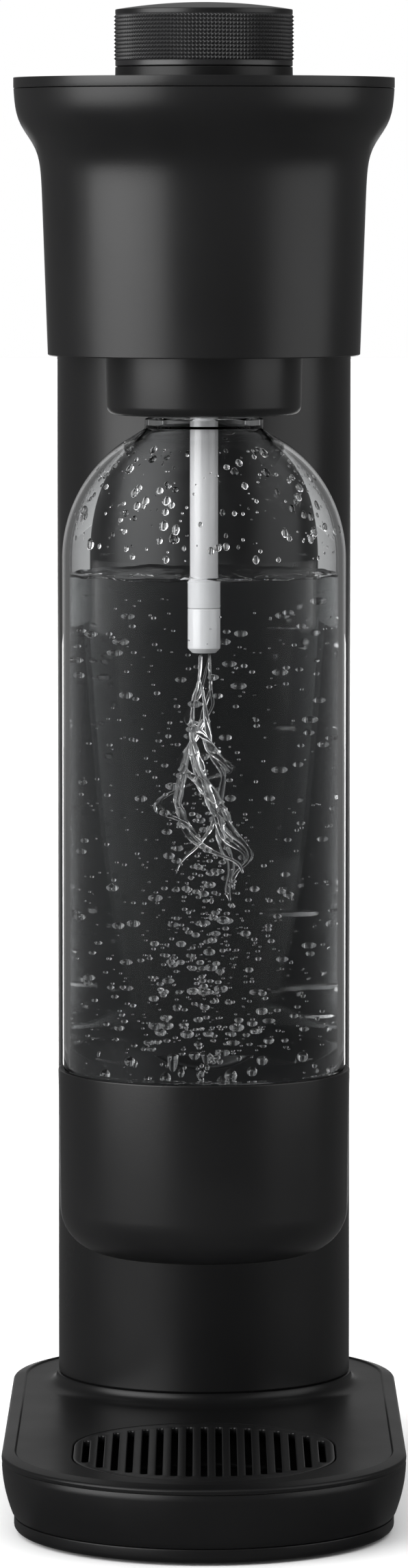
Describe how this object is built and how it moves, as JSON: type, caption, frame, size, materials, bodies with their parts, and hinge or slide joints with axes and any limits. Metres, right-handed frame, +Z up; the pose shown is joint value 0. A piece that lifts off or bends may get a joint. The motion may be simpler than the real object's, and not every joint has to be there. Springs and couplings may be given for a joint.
{
  "type": "soda carbonator",
  "caption": "Hand-operated soda carbonator: oval base with drip grille, round column, oval head with push button, and a screw-in clear bottle.",
  "frame": {"origin": "middle of the footprint, on the surface that the object rests on", "axes": "+Z up; -Y is the front, where the bottle hangs; +X is to the right of someone facing the front"},
  "size_m": [0.1148, 0.2434, 0.4306],
  "materials": {
    "black_plastic": "satin black moulding, fine spark texture",
    "black_metal": "black coated metal, fine square knurl",
    "dark_plastic": "plain dark grey moulding",
    "rubber": "matt rubber",
    "frame_steel": "plain rolled steel",
    "bright_steel": "bright plated steel",
    "brass": "machined brass",
    "cylinder_aluminium": "brushed, clear coated",
    "hose_plastic": "translucent white hose",
    "pale_tube": "smooth pale grey",
    "clear_plastic": "clear, polished"
  },
  "bodies": {
    "root": {"rubber_feet": "rubber", "base_plate": "black_plastic", "base_screws": "bright_steel", "base_posts": "bright_steel", "base_body": "black_plastic", "base_deck": "black_plastic", "drip_well": "black_plastic", "column_front": "black_plastic", "spine": "frame_steel", "cylinder_seat": "rubber", "cylinder_gasket": "rubber", "valve_body": "brass", "head_frame": "frame_steel", "frame_screws": "bright_steel", "lever_bracket": "frame_steel", "lever_pin": "bright_steel", "button_guide": "dark_plastic", "button_spring": "bright_steel", "head_shell": "black_plastic", "head_plate": "black_plastic", "nozzle_skirt": "black_plastic", "bottle_socket": "dark_plastic", "bottle_seal": "rubber", "tube_holder": "dark_plastic", "relief_valve": "brass", "gas_hose": "hose_plastic", "carbonation_tube": "pale_tube", "nozzle_tip": "pale_tube"},
    "tray": {"drip_tray": "black_plastic"},
    "grille": {"drip_grille": "black_plastic"},
    "rear_cover": {"rear_cover": "black_plastic"},
    "gas_cylinder": {"co2_cylinder": "cylinder_aluminium", "cylinder_valve": "brass"},
    "button": {"button_cap": "black_plastic", "button_grip": "black_metal", "button_skirt": "black_plastic", "button_stem": "bright_steel"},
    "lever": {"lever": "frame_steel"},
    "valve_pin": {"valve_pin": "bright_steel"},
    "bottle": {"bottle_body": "clear_plastic", "bottle_base_cup": "black_plastic"}
  },
  "joints": [
    {"name": "button_press", "type": "slide", "parent": "root", "child": "button", "axis": [0, 0, -1], "range_m": [0, 0.006], "stiffness_N_per_m": 900, "springref_m": -0.004, "deforming": ["button_spring"]},
    {"name": "lever_swing", "type": "hinge", "parent": "root", "child": "lever", "pos_m": [0, 0.07875, 0.3905], "axis": [1, 0, 0], "range_deg": [0, 2.5]},
    {"name": "valve_push", "type": "slide", "parent": "root", "child": "valve_pin", "axis": [0, 0, -1], "range_m": [0, 0.0012]},
    {"name": "bottle_drop", "type": "slide", "parent": "root", "child": "bottle", "axis": [0, 0, -1], "range_m": [0, 0.03]},
    {"name": "tray_lift", "type": "slide", "parent": "root", "child": "tray", "axis": [0, 0, 1], "range_m": [0, 0.016]},
    {"name": "grille_lift", "type": "slide", "parent": "tray", "child": "grille", "axis": [0, 0, 1], "range_m": [0, 0.008]},
    {"name": "cover_pull", "type": "slide", "parent": "root", "child": "rear_cover", "axis": [0, 1, 0], "range_m": [0, 0.075]},
    {"name": "cylinder_turn", "type": "hinge", "parent": "root", "child": "gas_cylinder", "pos_m": [0, 0.05275, 0.2], "axis": [0, 0, 1], "range_deg": [-900, 0]}
  ],
  "couplings": [
    {"joint": "lever_swing", "follows": "button_press", "rad_per_m": 6.993},
    {"joint": "valve_push", "follows": "button_press", "ratio": 0.18182}
  ]
}
